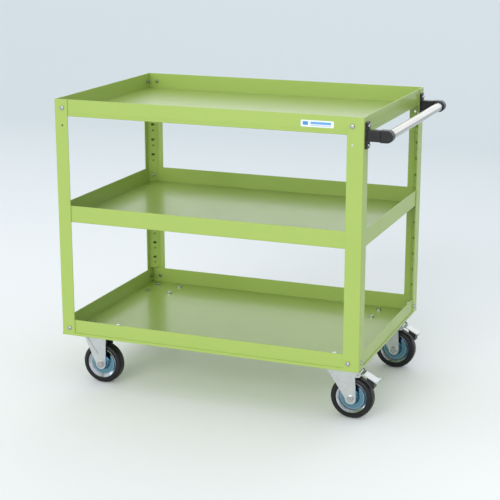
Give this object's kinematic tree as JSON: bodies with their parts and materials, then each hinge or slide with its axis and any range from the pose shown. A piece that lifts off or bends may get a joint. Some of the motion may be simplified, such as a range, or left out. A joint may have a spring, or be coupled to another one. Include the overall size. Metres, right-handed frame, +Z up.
{
  "type": "service trolley",
  "caption": "Steel trolley with three open trays between four corner posts, a push handle at one end, fixed casters at the far end and braked swivel casters under the handle.",
  "frame": {"origin": "on the floor, under the centre of the whole part's bounding box", "axes": "+X towards the push handle (longest extent), +Y towards the back (shortest extent), +Z up"},
  "size_m": [0.999, 0.628, 0.87],
  "materials": {
    "green_paint": "gloss lime green enamel",
    "zinc_steel": "satin zinc plate",
    "bright_zinc": "bright zinc plate",
    "blue_zinc": "blue passivated zinc, pressed",
    "stainless": "satin stainless",
    "black_plastic": "fine grained",
    "rubber": "matt rubber",
    "label_print": null
  },
  "bodies": {
    "frame": {"post_front_left": "green_paint", "post_front_right": "green_paint", "post_back_left": "green_paint", "post_back_right": "green_paint", "top_tray": "green_paint", "middle_tray": "green_paint", "bottom_tray": "green_paint", "top_tray_stiffener": "green_paint", "middle_tray_stiffener": "green_paint", "bottom_tray_stiffener": "green_paint", "tray_screws": "bright_zinc", "m6_nuts": "bright_zinc", "handle_screws": "bright_zinc", "middle_tray_screws": "bright_zinc", "caster_bolts": "bright_zinc", "caster_nuts": "bright_zinc", "handle_bracket_front": "black_plastic", "handle_socket_front": "black_plastic", "handle_bracket_back": "black_plastic", "handle_socket_back": "black_plastic", "handle_tube": "stainless", "label_plate": "label_print", "front_left_fork": "zinc_steel", "front_left_axle": "bright_zinc", "back_left_fork": "zinc_steel", "back_left_axle": "bright_zinc", "front_right_mounting_plate": "zinc_steel", "front_right_kingpin": "zinc_steel", "front_right_swivel_balls": "bright_zinc", "back_right_mounting_plate": "zinc_steel", "back_right_kingpin": "zinc_steel", "back_right_swivel_balls": "bright_zinc"},
    "wheel_front_left": {"front_left_tyre": "rubber", "front_left_wheel_discs": "blue_zinc", "front_left_hub": "bright_zinc", "front_left_bush": "black_plastic"},
    "wheel_back_left": {"back_left_tyre": "rubber", "back_left_wheel_discs": "blue_zinc", "back_left_hub": "bright_zinc", "back_left_bush": "black_plastic"},
    "wheel_front_right": {"front_right_tyre": "rubber", "front_right_wheel_discs": "blue_zinc", "front_right_hub": "bright_zinc", "front_right_bush": "black_plastic"},
    "wheel_back_right": {"back_right_tyre": "rubber", "back_right_wheel_discs": "blue_zinc", "back_right_hub": "bright_zinc", "back_right_bush": "black_plastic"},
    "swivel_front_right": {"front_right_fork": "zinc_steel", "front_right_axle": "bright_zinc", "front_right_brake_pin": "bright_zinc"},
    "brake_front_right": {"front_right_brake_pedal": "zinc_steel", "front_right_brake_shoe": "black_plastic"},
    "swivel_back_right": {"back_right_fork": "zinc_steel", "back_right_axle": "bright_zinc", "back_right_brake_pin": "bright_zinc"},
    "brake_back_right": {"back_right_brake_pedal": "zinc_steel", "back_right_brake_shoe": "black_plastic"}
  },
  "joints": [
    {"name": "front_left_wheel_spin", "type": "hinge", "parent": "frame", "child": "wheel_front_left", "pos_m": [-0.4035, -0.226, 0.0625], "axis": [0, 1, 0], "continuous": true},
    {"name": "back_left_wheel_spin", "type": "hinge", "parent": "frame", "child": "wheel_back_left", "pos_m": [-0.4035, 0.226, 0.0625], "axis": [0, 1, 0], "continuous": true},
    {"name": "front_right_swivel", "type": "hinge", "parent": "frame", "child": "swivel_front_right", "pos_m": [0.3545, -0.226, 0.142], "axis": [0, 0, 1], "continuous": true},
    {"name": "front_right_wheel_spin", "type": "hinge", "parent": "swivel_front_right", "child": "wheel_front_right", "pos_m": [0.3835, -0.226, 0.0625], "axis": [0, 1, 0], "continuous": true},
    {"name": "front_right_brake_press", "type": "hinge", "parent": "swivel_front_right", "child": "brake_front_right", "pos_m": [0.4045, -0.226, 0.136], "axis": [0, 1, 0], "range_deg": [0, 8]},
    {"name": "back_right_swivel", "type": "hinge", "parent": "frame", "child": "swivel_back_right", "pos_m": [0.3545, 0.226, 0.142], "axis": [0, 0, 1], "continuous": true},
    {"name": "back_right_wheel_spin", "type": "hinge", "parent": "swivel_back_right", "child": "wheel_back_right", "pos_m": [0.3835, 0.226, 0.0625], "axis": [0, 1, 0], "continuous": true},
    {"name": "back_right_brake_press", "type": "hinge", "parent": "swivel_back_right", "child": "brake_back_right", "pos_m": [0.4045, 0.226, 0.136], "axis": [0, 1, 0], "range_deg": [0, 8]}
  ]
}
